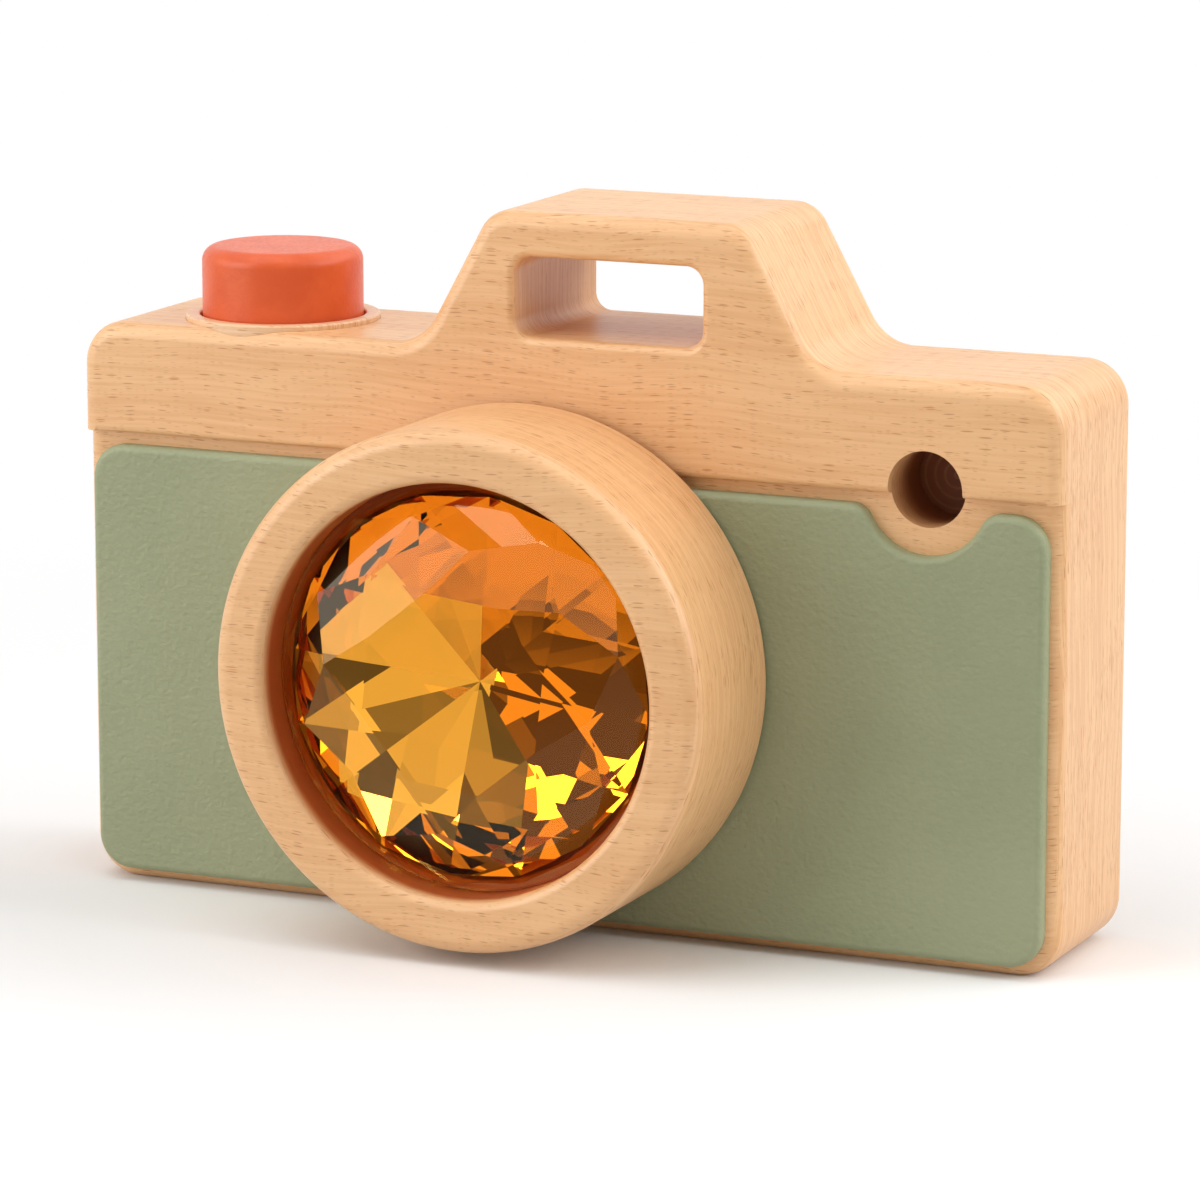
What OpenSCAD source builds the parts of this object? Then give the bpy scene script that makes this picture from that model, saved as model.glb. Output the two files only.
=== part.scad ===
// Wooden toy camera: a beech block with a carrying window, a painted front panel,
// a turning lens barrel that holds a faceted amber lens, and a sprung shutter button.
// Millimetres. The origin is the middle of the base, +Z is up and the lens looks along -Y.

/* [Body block] */
// Width of the body
body_w = 130; // [124:1:150]
// Thickness of the body
body_d = 25.4; // [25:0.2:32]
// Height of the shoulders above the base
shoulder_h = 71.6; // [70:0.2:80]
// Radius of the outer corners, seen from the front
corner_r = 5.5; // [3.5:0.5:8]
// Radius worked along the front and back edges
edge_r = 2; // [1:0.1:2.4]

/* [Hump] */
// Rise of the hump above the shoulders
hump_h = 16.9; // [16:0.1:22]
// Distance of the hump's middle to the right of the body's middle
hump_x = 7.8; // [4:0.2:12]
// Width of the hump where it meets the shoulders
hump_base_w = 52; // [49:0.5:60]
// Width of the hump at its top
hump_top_w = 33.4; // [31:0.2:38]
// Radius of the hump's upper corners
hump_top_r = 4.5; // [2.5:0.5:6]
// Radius of the hollow at each foot of the hump
hump_foot_r = 6.5; // [3:0.5:9]

/* [Carrying window] */
// Width of the window through the hump
window_w = 24.6; // [18:0.2:26]
// Height of the window
window_h = 9.8; // [6:0.2:11]
// Wood left above the window
window_cover = 5.4; // [4.4:0.2:8]
// Distance of the window's middle to the left of the hump's middle
window_shift = 0.8; // [0:0.1:2]
// Radius of the window's corners
window_r = 2.2; // [1:0.2:2.8]
// Rounding of the window's front and back edges
window_edge_r = 1; // [0.4:0.1:1.6]

/* [Front panel] */
// Height above the base of the step where the front drops back
step_h = 57.7; // [56.5:0.1:62]
// Depth of that step
step_d = 1.3; // [0.8:0.1:1.8]
// Thickness of the panel
panel_t = 1.9; // [1.6:0.1:3]
// Wood left bare between the step and the panel
panel_top_gap = 1.5; // [0.8:0.1:2.5]
// Wood left bare at the panel's sides and bottom
panel_inset = 1.6; // [1:0.1:2.4]
// Radius of the panel's corners
panel_r = 4.3; // [3:0.1:5]
// Rounding of the panel's front edge
panel_edge_r = 0.9; // [0.4:0.1:1.2]
// Radius of the notch round the viewing hole
notch_r = 8; // [7:0.1:8.4]
// Radius of the notch's two shoulders
notch_shoulder_r = 2.7; // [1.5:0.1:3]
// Slope of the notch's flanks
notch_slope = 60; // [54:1:62]

/* [Viewing hole] */
// Distance of the hole's axis from the body's right side
hole_side = 17; // [15.5:0.1:22]
// Height of the hole's axis above the step
hole_rise = 0.7; // [0:0.1:2]
// Radius of the hole
hole_r = 4.7; // [3:0.1:5.5]
// Depth of the hole
hole_d = 11; // [6:0.5:16]

/* [Lens barrel] */
// Distance of the lens axis to the left of the body's middle
lens_left = 3.4; // [0:0.2:8]
// Height of the lens axis above the base
lens_z = 33.6; // [33:0.1:36]
// Radius of the barrel
barrel_r = 31.9; // [29:0.1:32.8]
// Length of the barrel in front of the panel
barrel_l = 21.3; // [20:0.1:30]
// Rounding of the barrel's outer front edge
barrel_edge_r = 2.1; // [1:0.1:3]
// Rounding of the barrel's rear edge
barrel_rear_r = 0.6; // [0.2:0.1:1]
// Radius of the opening in front of the lens
opening_r = 25.3; // [23.5:0.1:26.5]
// Rounding of the opening's edge
opening_edge_r = 1.3; // [0.5:0.1:2]
// Radius of the spigot that turns in the body
spigot_r = 20; // [19.4:0.1:21]
// Wall of the spigot
spigot_wall = 5; // [4.6:0.1:6]
// Width of the washer between barrel and body
washer_w = 3; // [2:0.1:3.4]

/* [Faceted lens] */
// Number of main facets round the lens
facets = 8; // [6:1:12]
// Turn of the facets about the lens axis
facet_turn = 16; // [0:1:45]
// Depth of the lens rim behind the barrel's front
lens_recess = 5; // [4:0.1:9]
// Thickness of the lens rim
rim_t = 1.2; // [0.8:0.1:2]
// Bare edge of the rim outside the front facets
rim_edge = 0.5; // [0.3:0.1:1]
// Height of the front facets above the rim
crown_h = 4.8; // [4:0.1:6.5]
// Radius of the flat table at the front
table_r = 12.5; // [8:0.1:15]
// Radius of the tips of the star facets round the table
star_r = 17.5; // [16:0.1:19]
// Radius of the outer tips of the kites round the table
kite_r = 21.5; // [20.8:0.1:23]
// Width of the seat behind the rim
seat_w = 2; // [1.2:0.1:3]
// Depth of the rear facets behind the rim
pavilion_h = 7; // [5:0.1:13]
// Radius of the inner tips of the lower rear facets
pavilion_tip_r = 11; // [5:0.1:14]

/* [Eyepiece] */
// Outer radius of the ring that holds the spigot from behind
eyepiece_r = 24; // [22.5:0.1:26]
// Thickness of that ring
eyepiece_t = 3.6; // [3.2:0.1:5]
// Radius of the eyehole
eyehole_r = 11; // [8:0.1:13]
// Rounding of the eyehole's edge
eyehole_edge_r = 1; // [0.4:0.1:1.4]
// Thickness of the clear pane
pane_t = 1.6; // [1:0.1:2]
// Width of the pane's edge held by the spigot
pane_edge = 1.6; // [1:0.1:2]
// Number of screws that hold the ring to the spigot
screws = 4; // [3:1:6]
// Radius of a screw's shank
screw_r = 1.1; // [0.8:0.05:1.2]
// Length of a screw
screw_l = 10; // [8:0.5:14]
// Radius of a screw's countersunk head
screw_head_r = 2.1; // [1.7:0.05:2.4]

/* [Shutter button] */
// Distance of the button's axis from the body's left side
button_side = 22; // [18:0.2:26]
// Radius of the button
button_r = 10.1; // [8:0.1:10.3]
// Height of the button's top above the shoulder
button_rise = 9.2; // [6:0.1:12]
// Rounding of the button's top edge
button_edge_r = 1.9; // [0.6:0.1:2.5]
// Length of the button's cap below the shoulder
button_skirt = 4.3; // [3:0.1:5]
// How far the button goes down
button_travel = 3.5; // [2:0.1:4]
// Radius of the neck that the pins ride in
neck_r = 6.2; // [5.6:0.1:6.8]
// Radius of the foot below the neck
foot_r = 9; // [8:0.1:9.4]
// Thickness of that foot
foot_t = 4; // [3:0.1:5]
// Radius of a pin
pin_r = 1.5; // [1:0.1:1.8]
// Length of a pin held in the front wall
pin_bite = 2.5; // [1.5:0.1:3.5]
// Outer radius of the collar
collar_r = 12.2; // [11.6:0.1:12.3]
// Thickness of the collar
collar_t = 1.6; // [1.3:0.1:2]
// Height of the collar above the shoulder
collar_proud = 0.7; // [0.4:0.1:1]
// Chamfer on the collar's upper edges
collar_chamfer = 0.3; // [0.1:0.05:0.4]

/* [Button spring] */
// Mean radius of the coil
coil_r = 3.7; // [2.8:0.1:3.9]
// Radius of the wire
wire_r = 0.4; // [0.3:0.05:0.5]
// Number of turns
coil_turns = 6; // [4:1:7]
// Length of the spring with the button up
spring_l = 10; // [9.5:0.1:13]
// Depth of the spring's pocket in the button's foot
spring_pocket = 5; // [3:0.1:5.5]

/* [Clearances] */
// Gap between pieces that move against each other
run_gap = 0.3; // [0.2:0.05:0.4]
// Gap between pieces that are glued or pressed together
fit_gap = 0.05; // [0.02:0.01:0.1]
// Depth of pins and eyepiece ring below the back face
flush_gap = 0.3; // [0.1:0.05:0.6]

/* [Hidden] */

$fn = 64;
// Steps in a quarter of a worked edge, and in each corner of an outline
edge_steps = 6;
corner_steps = 8;
// Sides of the spring's wire, and rings in one turn of it
wire_sides = 6;
rings_per_turn = 16;
// Length by which a cut runs past the face that it opens
overrun = 1;

// Depths along Y
front_y = -body_d / 2;
back_y = body_d / 2;
floor_y = front_y + step_d;
panel_y = floor_y - panel_t;
washer_y = min(panel_y, front_y);
barrel_rear_y = washer_y - run_gap;
barrel_front_y = barrel_rear_y - barrel_l;
rim_y = barrel_front_y + lens_recess;
seat_y = rim_y + rim_t;
eyepiece_back_y = back_y - flush_gap;
spigot_end_y = eyepiece_back_y - eyepiece_t;
eyepiece_floor_y = spigot_end_y - run_gap;

// Places seen from the front
hump_top = shoulder_h + hump_h;
window_x = hump_x - window_shift;
window_top = hump_top - window_cover;
hole_x = body_w / 2 - hole_side;
hole_z = step_h + hole_rise;
lens_x = -lens_left;
button_x = button_side - body_w / 2;

// Lens barrel and lens
body_bore_r = spigot_r + run_gap;
washer_r = body_bore_r + washer_w;
spigot_bore_r = spigot_r - spigot_wall;
lens_r = opening_r - run_gap;
crown_r = lens_r - rim_edge;
seat_r = opening_r - seat_w;
pavilion_r = seat_r - run_gap;
// Room behind the seat, down to where the rear facets pass through the spigot's bore
cavity_d = pavilion_h * (1 - (spigot_bore_r - 2 * run_gap) / pavilion_r);
rim_overlap = rim_t / 2;
pane_r = spigot_bore_r + pane_edge;
screw_pitch_r = (pane_r + fit_gap + spigot_r) / 2;
screw_head_t = screw_head_r - screw_r;
// Cross recess in a screw's head
recess_w = 0.5 * screw_r;
recess_l = 2.4 * screw_r;
recess_d = 0.8 * screw_head_t;

// Heights in the shutter button
cap_bottom = shoulder_h - button_skirt;
ledge_z = cap_bottom - button_travel - run_gap;
pin_z = ledge_z - pin_r;
foot_top = pin_z - pin_r - run_gap;
foot_bottom = foot_top - foot_t;
spring_top = foot_bottom + spring_pocket;
bore_floor = spring_top - spring_l;
cap_bore_r = button_r + run_gap;
foot_bore_r = foot_r + run_gap;
pocket_r = coil_r + wire_r + run_gap;
collar_seat = shoulder_h + collar_proud - collar_t;
// Pins pass beside the neck and end in the wall in front of the bore
pin_offset = neck_r + run_gap + pin_r;
pin_front_y = -sqrt(pow(cap_bore_r, 2) - pow(pin_offset, 2)) - pin_bite;

// Outline of the whole block: each corner is [x, z, radius], anticlockwise seen from the front
body_outline = [
  [-body_w / 2, 0, corner_r],
  [body_w / 2, 0, corner_r],
  [body_w / 2, shoulder_h, corner_r],
  [hump_x + hump_base_w / 2, shoulder_h, hump_foot_r],
  [hump_x + hump_top_w / 2, hump_top, hump_top_r],
  [hump_x - hump_top_w / 2, hump_top, hump_top_r],
  [hump_x - hump_base_w / 2, shoulder_h, hump_foot_r],
  [-body_w / 2, shoulder_h, corner_r],
];
// Outline of the lower block, which ends at the step
lower_outline = [
  [-body_w / 2, 0, corner_r],
  [body_w / 2, 0, corner_r],
  [body_w / 2, shoulder_h, corner_r],
  [-body_w / 2, shoulder_h, corner_r],
];
window_outline = [
  [window_x - window_w / 2, window_top - window_h, window_r],
  [window_x + window_w / 2, window_top - window_h, window_r],
  [window_x + window_w / 2, window_top, window_r],
  [window_x - window_w / 2, window_top, window_r],
];
panel_x = body_w / 2 - panel_inset;
panel_top = step_h - panel_top_gap;
// The notch is a V whose foot is rounded by an arc about the viewing hole
notch_foot = hole_z - notch_r / cos(notch_slope);
notch_half_w = (panel_top - notch_foot) / tan(notch_slope);
panel_outline = [
  [-panel_x, panel_inset, panel_r],
  [panel_x, panel_inset, panel_r],
  [panel_x, panel_top, panel_r],
  [hole_x + notch_half_w, panel_top, notch_shoulder_r],
  [hole_x, notch_foot, notch_r],
  [hole_x - notch_half_w, panel_top, notch_shoulder_r],
  [-panel_x, panel_top, panel_r],
];

// Points inside each outline that see the whole of it
body_hub = [hump_x, shoulder_h / 2];
window_hub = [window_x, window_top - window_h / 2];
panel_hub = [hole_x, panel_top / 2];

beech = "#E5B484";
pale_beech = "#F0CBA2";
sage = "#97A17E";
coral = "#E0643A";
amber = "#D98A12";
clear = "#DDE6E6";
nylon = "#E8E4D8";
steel = "#B9BCC0";

function flat(v) = [v[0], v[1]];
function unit(v) = v / norm(v);
// Outward normal of the edge from a to b of an anticlockwise outline
function edge_normal(a, b) = let (u = unit(flat(b) - flat(a))) [u[1], -u[0]];

// Points of corner b between its neighbours a and c, rounded, with the outline drawn in by inset
function corner_points(a, b, c, inset) =
  let (
    n1 = edge_normal(a, b),
    n2 = edge_normal(b, c),
    side = n1[0] * n2[1] - n1[1] * n2[0] < 0 ? -1 : 1,
    centre = flat(b) - side * b[2] * (n1 + n2) / (1 + n1 * n2),
    start = atan2(n1[1], n1[0]),
    sweep = side * acos(n1 * n2),
    radius = side * b[2] - inset
  )
  [for (k = [0:corner_steps]) let (a = start + sweep * k / corner_steps) centre + radius * [cos(a), sin(a)]];

// Points of a whole outline, drawn in by inset
function inset_outline(corners, inset) =
  let (n = len(corners))
  [for (i = [0:n - 1]) each corner_points(corners[(i + n - 1) % n], corners[i], corners[(i + 1) % n], inset)];

// Quarter round from a face to a side: pairs of depth below the face and inset from the side
function quarter_round(r) =
  r == 0 ? [[0, 0]] : [for (k = [0:edge_steps]) let (a = 90 * k / edge_steps) r * [1 - cos(a), 1 - sin(a)]];
function reversed(list) = [for (i = [len(list) - 1:-1:0]) list[i]];

// Solid through copies of one outline, each ring being [y, inset].
// Each end is a fan about hub, a point [x, z] from which the whole outline can be seen.
module loft(corners, rings, hub) {
  n = len(inset_outline(corners, 0));
  last = len(rings) - 1;
  front_hub = (last + 1) * n;
  back_hub = front_hub + 1;
  points = concat(
    [for (ring = rings) for (p = inset_outline(corners, ring[1])) [p[0], ring[0], p[1]]],
    [for (j = [0, last]) [hub[0], rings[j][0], hub[1]]]
  );
  sides = [for (j = [0:last - 1]) for (k = [0:n - 1]) let (m = (k + 1) % n)
    [j * n + k, j * n + m, (j + 1) * n + m, (j + 1) * n + k]];
  front = [for (k = [0:n - 1]) [front_hub, (k + 1) % n, k]];
  back = [for (k = [0:n - 1]) [back_hub, last * n + k, last * n + (k + 1) % n]];
  polyhedron(points = points, faces = concat(front, sides, back));
}

// Slab with its front and back edges rounded
module slab(corners, hub, y0, y1, front_r, back_r) {
  front = [for (q = quarter_round(front_r)) [y0 + q[0], q[1]]];
  back = [for (q = reversed(quarter_round(back_r))) [y1 - q[0], q[1]]];
  loft(corners, concat(front, back), hub);
}

// Cutter for an opening right through, with both its edges rounded
module through_window(corners, hub, y0, y1, r) {
  front = [for (q = quarter_round(r)) [y0 + q[0], -q[1]]];
  back = [for (q = reversed(quarter_round(r))) [y1 - q[0], -q[1]]];
  loft(corners, concat([[y0 - overrun, -r]], front, back, [[y1 + overrun, -r]]), hub);
}

module rod_y(x, z, y0, y1, r) {
  translate([x, y1, z]) rotate([90, 0, 0]) cylinder(h = y1 - y0, r = r);
}

module rod_z(x, z0, z1, r) {
  translate([x, 0, z0]) cylinder(h = z1 - z0, r = r);
}

// Turned piece on the lens axis: the profile's points are [radius, y]
module turned_on_lens(profile) {
  translate([lens_x, 0, lens_z]) rotate([90, 0, 0]) rotate_extrude()
    polygon([for (p = profile) [p[0], -p[1]]]);
}

// Turned piece on the button's axis: the profile's points are [radius, z]
module turned_on_button(profile) {
  translate([button_x, 0, 0]) rotate_extrude() polygon(profile);
}

// Arc of a profile about centre, from angle a0 to a1
function arc(centre, r, a0, a1) =
  [for (k = [0:edge_steps]) let (a = a0 + (a1 - a0) * k / edge_steps) centre + r * [cos(a), sin(a)]];

module above(z) {
  translate([-body_w, -body_d, z]) cube([2 * body_w, 2 * body_d, hump_top]);
}

module below(z) {
  translate([-body_w, -body_d, z - hump_top]) cube([2 * body_w, 2 * body_d, hump_top]);
}

module body_blank() {
  intersection() {
    slab(body_outline, body_hub, front_y, back_y, edge_r, edge_r);
    above(step_h);
  }
  intersection() {
    slab(lower_outline, body_hub, floor_y, back_y, edge_r, edge_r);
    below(step_h);
  }
}

module lens_cuts() {
  rod_y(lens_x, lens_z, front_y - overrun, back_y + overrun, body_bore_r);
  rod_y(lens_x, lens_z, front_y - overrun, floor_y, washer_r + fit_gap);
  rod_y(lens_x, lens_z, eyepiece_floor_y, back_y + overrun, eyepiece_r + run_gap);
}

module button_cuts() {
  rod_z(button_x, ledge_z, shoulder_h + overrun, cap_bore_r);
  rod_z(button_x, bore_floor, shoulder_h, foot_bore_r);
  rod_z(button_x, collar_seat, shoulder_h + overrun, collar_r + fit_gap);
  for (side = [-1, 1])
    rod_y(button_x + side * pin_offset, pin_z, pin_front_y, back_y + overrun, pin_r + fit_gap);
}

module body_block() {
  color(beech) difference() {
    body_blank();
    through_window(window_outline, window_hub, front_y, back_y, window_edge_r);
    rod_y(hole_x, hole_z, front_y - overrun, front_y + hole_d, hole_r);
    lens_cuts();
    button_cuts();
  }
}

module front_panel() {
  color(sage) difference() {
    slab(panel_outline, panel_hub, panel_y, floor_y, panel_edge_r, 0);
    rod_y(lens_x, lens_z, panel_y - overrun, floor_y + overrun, washer_r + fit_gap);
  }
}

module bearing_washer() {
  color(nylon) difference() {
    rod_y(lens_x, lens_z, washer_y, floor_y, washer_r);
    rod_y(lens_x, lens_z, washer_y - overrun, floor_y + overrun, body_bore_r);
  }
}

// Copies of a child at each screw's place
module at_screws() {
  for (i = [0:screws - 1])
    translate([lens_x, 0, lens_z]) rotate([0, 360 * (i + 0.5) / screws, 0]) translate([screw_pitch_r, 0, 0])
      children();
}

// Shank and countersunk head, grown by gap
module screw_shape(gap) {
  translate([0, eyepiece_back_y, 0]) rotate([90, 0, 0]) {
    cylinder(h = screw_l + gap, r = screw_r + gap);
    cylinder(h = screw_head_t, r1 = screw_head_r + gap, r2 = screw_r + gap);
  }
}

module lens_barrel() {
  front_outer = [barrel_r - barrel_edge_r, barrel_front_y + barrel_edge_r];
  front_inner = [opening_r + opening_edge_r, barrel_front_y + opening_edge_r];
  rear_outer = [barrel_r - barrel_rear_r, barrel_rear_y - barrel_rear_r];
  profile = concat(
    [[spigot_bore_r, spigot_end_y], [spigot_r, spigot_end_y], [spigot_r, barrel_rear_y]],
    arc(rear_outer, barrel_rear_r, 90, 0),
    arc(front_outer, barrel_edge_r, 0, -90),
    arc(front_inner, opening_edge_r, -90, -180),
    [[opening_r, seat_y], [seat_r, seat_y], [seat_r, seat_y + cavity_d], [spigot_bore_r, seat_y + cavity_d]]
  );
  color(beech) difference() {
    turned_on_lens(profile);
    at_screws() screw_shape(fit_gap);
  }
}

// Points on a ring about the lens axis
function lens_ring(n, r, y, turn) =
  [for (i = [0:n - 1]) let (a = facet_turn + 360 * i / n + turn) [r * cos(a), y, r * sin(a)]];

// Front facets: a flat table, star facets, two rows of kites, and pairs of triangles down to the rim
module crown() {
  n = facets;
  half = 180 / n;
  table_y = rim_y - crown_h;
  // Drops below the table at which the four corners of every kite lie in one plane
  star_share = (star_r * cos(half) - table_r) / (kite_r - table_r);
  edge_share = (kite_r * cos(half) - star_r) / (crown_r - star_r);
  kite_drop = crown_h * edge_share / (1 - star_share * (1 - edge_share));
  points = concat(
    lens_ring(n, table_r, table_y, 0),
    lens_ring(n, star_r, table_y + star_share * kite_drop, half),
    lens_ring(n, kite_r, table_y + kite_drop, 0),
    lens_ring(2 * n, crown_r, rim_y, 0),
    lens_ring(2 * n, crown_r, rim_y + rim_overlap, 0)
  );
  table = [for (i = [n - 1:-1:0]) i];
  stars = [for (i = [0:n - 1]) [i, (i + 1) % n, n + i]];
  kites = [for (i = [0:n - 1]) [i, n + i, 2 * n + i, n + (i + n - 1) % n]];
  outer_kites = [for (i = [0:n - 1]) [n + i, 2 * n + (i + 1) % n, 3 * n + 2 * i + 1, 2 * n + i]];
  edges = [for (i = [0:n - 1]) for (k = [0, 1])
    [2 * n + i, 3 * n + (2 * i + 1 - k) % (2 * n), 3 * n + (2 * i + 2 * n - k) % (2 * n)]];
  walls = [for (k = [0:2 * n - 1]) let (m = (k + 1) % (2 * n))
    [3 * n + k, 3 * n + m, 5 * n + m, 5 * n + k]];
  base = [for (k = [0:2 * n - 1]) 5 * n + k];
  polyhedron(points = points, faces = concat([table], stars, kites, outer_kites, edges, walls, [base]));
}

// Rear facets: pairs of triangles and long kites that meet in a point
module pavilion() {
  n = facets;
  half = 180 / n;
  tip_y = seat_y + pavilion_h * (1 - pavilion_tip_r * cos(half) / pavilion_r);
  points = concat(
    lens_ring(2 * n, pavilion_r, seat_y - rim_overlap, 0),
    lens_ring(2 * n, pavilion_r, seat_y, 0),
    lens_ring(n, pavilion_tip_r, tip_y, half),
    [[0, seat_y + pavilion_h, 0]]
  );
  base = [for (k = [2 * n - 1:-1:0]) k];
  walls = [for (k = [0:2 * n - 1]) let (m = (k + 1) % (2 * n)) [k, m, 2 * n + m, 2 * n + k]];
  edges = [for (i = [0:n - 1]) for (k = [0, 1])
    [4 * n + i, 2 * n + 2 * i + k, 2 * n + (2 * i + k + 1) % (2 * n)]];
  kites = [for (i = [0:n - 1]) [5 * n, 4 * n + (i + n - 1) % n, 2 * n + 2 * i, 4 * n + i]];
  polyhedron(points = points, faces = concat([base], walls, edges, kites));
}

module faceted_lens() {
  color(amber) translate([lens_x, 0, lens_z]) {
    crown();
    rod_y(0, 0, rim_y, seat_y, lens_r);
    pavilion();
  }
}

module eyepiece_ring() {
  edge = [eyehole_r + eyehole_edge_r, eyepiece_back_y - eyehole_edge_r];
  pane_seat_y = spigot_end_y + pane_t + fit_gap;
  profile = concat(
    [[eyehole_r, pane_seat_y], [pane_r + fit_gap, pane_seat_y], [pane_r + fit_gap, spigot_end_y],
     [eyepiece_r, spigot_end_y], [eyepiece_r, eyepiece_back_y]],
    arc(edge, eyehole_edge_r, 90, 180)
  );
  color(pale_beech) difference() {
    turned_on_lens(profile);
    at_screws() screw_shape(fit_gap);
  }
}

module eyepiece_pane() {
  color(clear) rod_y(lens_x, lens_z, spigot_end_y, spigot_end_y + pane_t, pane_r);
}

module eyepiece_screws() {
  color(steel) at_screws() difference() {
    screw_shape(0);
    for (turn = [0, 90])
      translate([0, eyepiece_back_y, 0]) rotate([0, turn, 0])
        cube([recess_l, 2 * recess_d, recess_w], center = true);
  }
}

module button_collar() {
  top = shoulder_h + collar_proud;
  profile = [
    [cap_bore_r, collar_seat], [collar_r, collar_seat], [collar_r, top - collar_chamfer],
    [collar_r - collar_chamfer, top], [cap_bore_r + collar_chamfer, top], [cap_bore_r, top - collar_chamfer],
  ];
  color(pale_beech) turned_on_button(profile);
}

module shutter_button() {
  top = shoulder_h + button_rise;
  profile = concat(
    [[0, spring_top], [pocket_r, spring_top], [pocket_r, foot_bottom], [foot_r, foot_bottom],
     [foot_r, foot_top], [neck_r, foot_top], [neck_r, cap_bottom], [button_r, cap_bottom]],
    arc([button_r - button_edge_r, top - button_edge_r], button_edge_r, 0, 90),
    [[0, top]]
  );
  color(coral) turned_on_button(profile);
}

// One unbroken wire wound from the bore's floor to the pocket's ceiling
module button_spring() {
  low = bore_floor + wire_r + fit_gap;
  rise = spring_l - 2 * (wire_r + fit_gap);
  last = coil_turns * rings_per_turn;
  climb = rise / (360 * coil_turns) * 180 / PI;
  points = [for (j = [0:last]) let (
      a = 360 * j / rings_per_turn,
      out = [cos(a), sin(a), 0],
      along = unit([-coil_r * sin(a), coil_r * cos(a), climb]),
      up = cross(out, along)
    )
    for (k = [0:wire_sides - 1]) let (b = 360 * k / wire_sides)
      coil_r * out + [0, 0, low + rise * j / last] + wire_r * (cos(b) * out + sin(b) * up)];
  sides = [for (j = [0:last - 1]) for (k = [0:wire_sides - 1]) let (m = (k + 1) % wire_sides)
    [j * wire_sides + k, j * wire_sides + m, (j + 1) * wire_sides + m, (j + 1) * wire_sides + k]];
  start = [for (k = [wire_sides - 1:-1:0]) k];
  end = [for (k = [0:wire_sides - 1]) last * wire_sides + k];
  color(steel) translate([button_x, 0, 0]) polyhedron(points = points, faces = concat([start], sides, [end]));
}

module button_pins() {
  color(pale_beech)
    for (side = [-1, 1])
      rod_y(button_x + side * pin_offset, pin_z, pin_front_y, eyepiece_back_y, pin_r);
}

body_block();
front_panel();
bearing_washer();
lens_barrel();
faceted_lens();
eyepiece_ring();
eyepiece_pane();
eyepiece_screws();
button_collar();
shutter_button();
button_spring();
button_pins();
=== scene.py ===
"""Looks of the wooden toy camera: finer meshes over the CAD frame, finishes, floor, lights and camera."""

import math

import bmesh
import bpy
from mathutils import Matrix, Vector

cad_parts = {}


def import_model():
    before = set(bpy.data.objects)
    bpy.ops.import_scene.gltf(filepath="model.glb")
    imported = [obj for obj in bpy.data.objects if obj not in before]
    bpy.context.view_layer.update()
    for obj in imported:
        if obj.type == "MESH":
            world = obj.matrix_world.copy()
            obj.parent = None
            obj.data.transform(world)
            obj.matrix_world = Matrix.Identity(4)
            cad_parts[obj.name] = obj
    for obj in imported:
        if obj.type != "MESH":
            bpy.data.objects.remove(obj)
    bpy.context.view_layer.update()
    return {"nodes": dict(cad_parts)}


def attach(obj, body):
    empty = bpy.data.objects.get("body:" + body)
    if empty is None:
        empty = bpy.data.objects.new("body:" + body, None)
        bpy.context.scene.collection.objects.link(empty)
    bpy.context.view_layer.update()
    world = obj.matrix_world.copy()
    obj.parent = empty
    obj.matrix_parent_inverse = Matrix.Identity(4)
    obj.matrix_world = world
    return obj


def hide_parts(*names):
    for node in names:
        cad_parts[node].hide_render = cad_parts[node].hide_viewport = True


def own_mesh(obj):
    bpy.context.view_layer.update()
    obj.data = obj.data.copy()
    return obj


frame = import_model()

MM = 0.001

# Sizes in millimetres, as in the part's source
BODY_W, BODY_D, SHOULDER = 130.0, 25.4, 71.6
CORNER_R, EDGE_R = 5.5, 2.0
HUMP_X, HUMP_H, HUMP_BASE_W, HUMP_TOP_W = 7.8, 16.9, 52.0, 33.4
HUMP_TOP_R, HUMP_FOOT_R = 4.5, 6.5
WINDOW_W, WINDOW_H, WINDOW_COVER, WINDOW_SHIFT = 24.6, 9.8, 5.4, 0.8
WINDOW_R, WINDOW_EDGE_R = 2.2, 1.0
STEP_Z, STEP_D, STEP_LIP_R = 57.7, 1.3, 0.8
PANEL_T, PANEL_TOP_GAP, PANEL_INSET = 1.9, 1.5, 1.6
PANEL_R, PANEL_EDGE_R = 4.3, 0.9
NOTCH_R, NOTCH_SHOULDER_R, NOTCH_SLOPE = 8.0, 2.7, math.radians(60)
HOLE_SIDE, HOLE_RISE, HOLE_R, HOLE_D = 17.0, 0.7, 4.7, 11.0
LENS = (-3.4, 33.6)
BARREL_R, BARREL_L, BARREL_EDGE_R, BARREL_REAR_R = 31.9, 21.3, 2.1, 0.6
OPENING_R, OPENING_EDGE_R = 25.3, 1.3
SPIGOT_R, SPIGOT_WALL, WASHER_W = 20.0, 5.0, 3.0
FACETS, FACET_TURN = 8, math.radians(16)
LENS_RECESS, RIM_T, RIM_EDGE, CROWN_H = 5.0, 1.2, 0.5, 4.8
TABLE_R, STAR_R, KITE_R = 12.5, 17.5, 21.5
SEAT_W, PAVILION_H, PAVILION_TIP_R = 2.0, 7.0, 11.0
EYEPIECE_R, EYEPIECE_T, EYEPIECE_EDGE_R = 24.0, 3.6, 0.3
EYEHOLE_R, EYEHOLE_EDGE_R = 11.0, 1.0
PANE_T, PANE_EDGE = 1.6, 1.6
SCREWS, SCREW_R, SCREW_HEAD_R = 4, 1.1, 2.1
BUTTON_SIDE, BUTTON_R, BUTTON_RISE, BUTTON_EDGE_R = 22.0, 10.1, 9.2, 1.9
BUTTON_SKIRT, BUTTON_TRAVEL = 4.3, 3.5
NECK_R, FOOT_R, FOOT_T = 6.2, 9.0, 4.0
PIN_R, PIN_BITE = 1.5, 2.5
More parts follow.
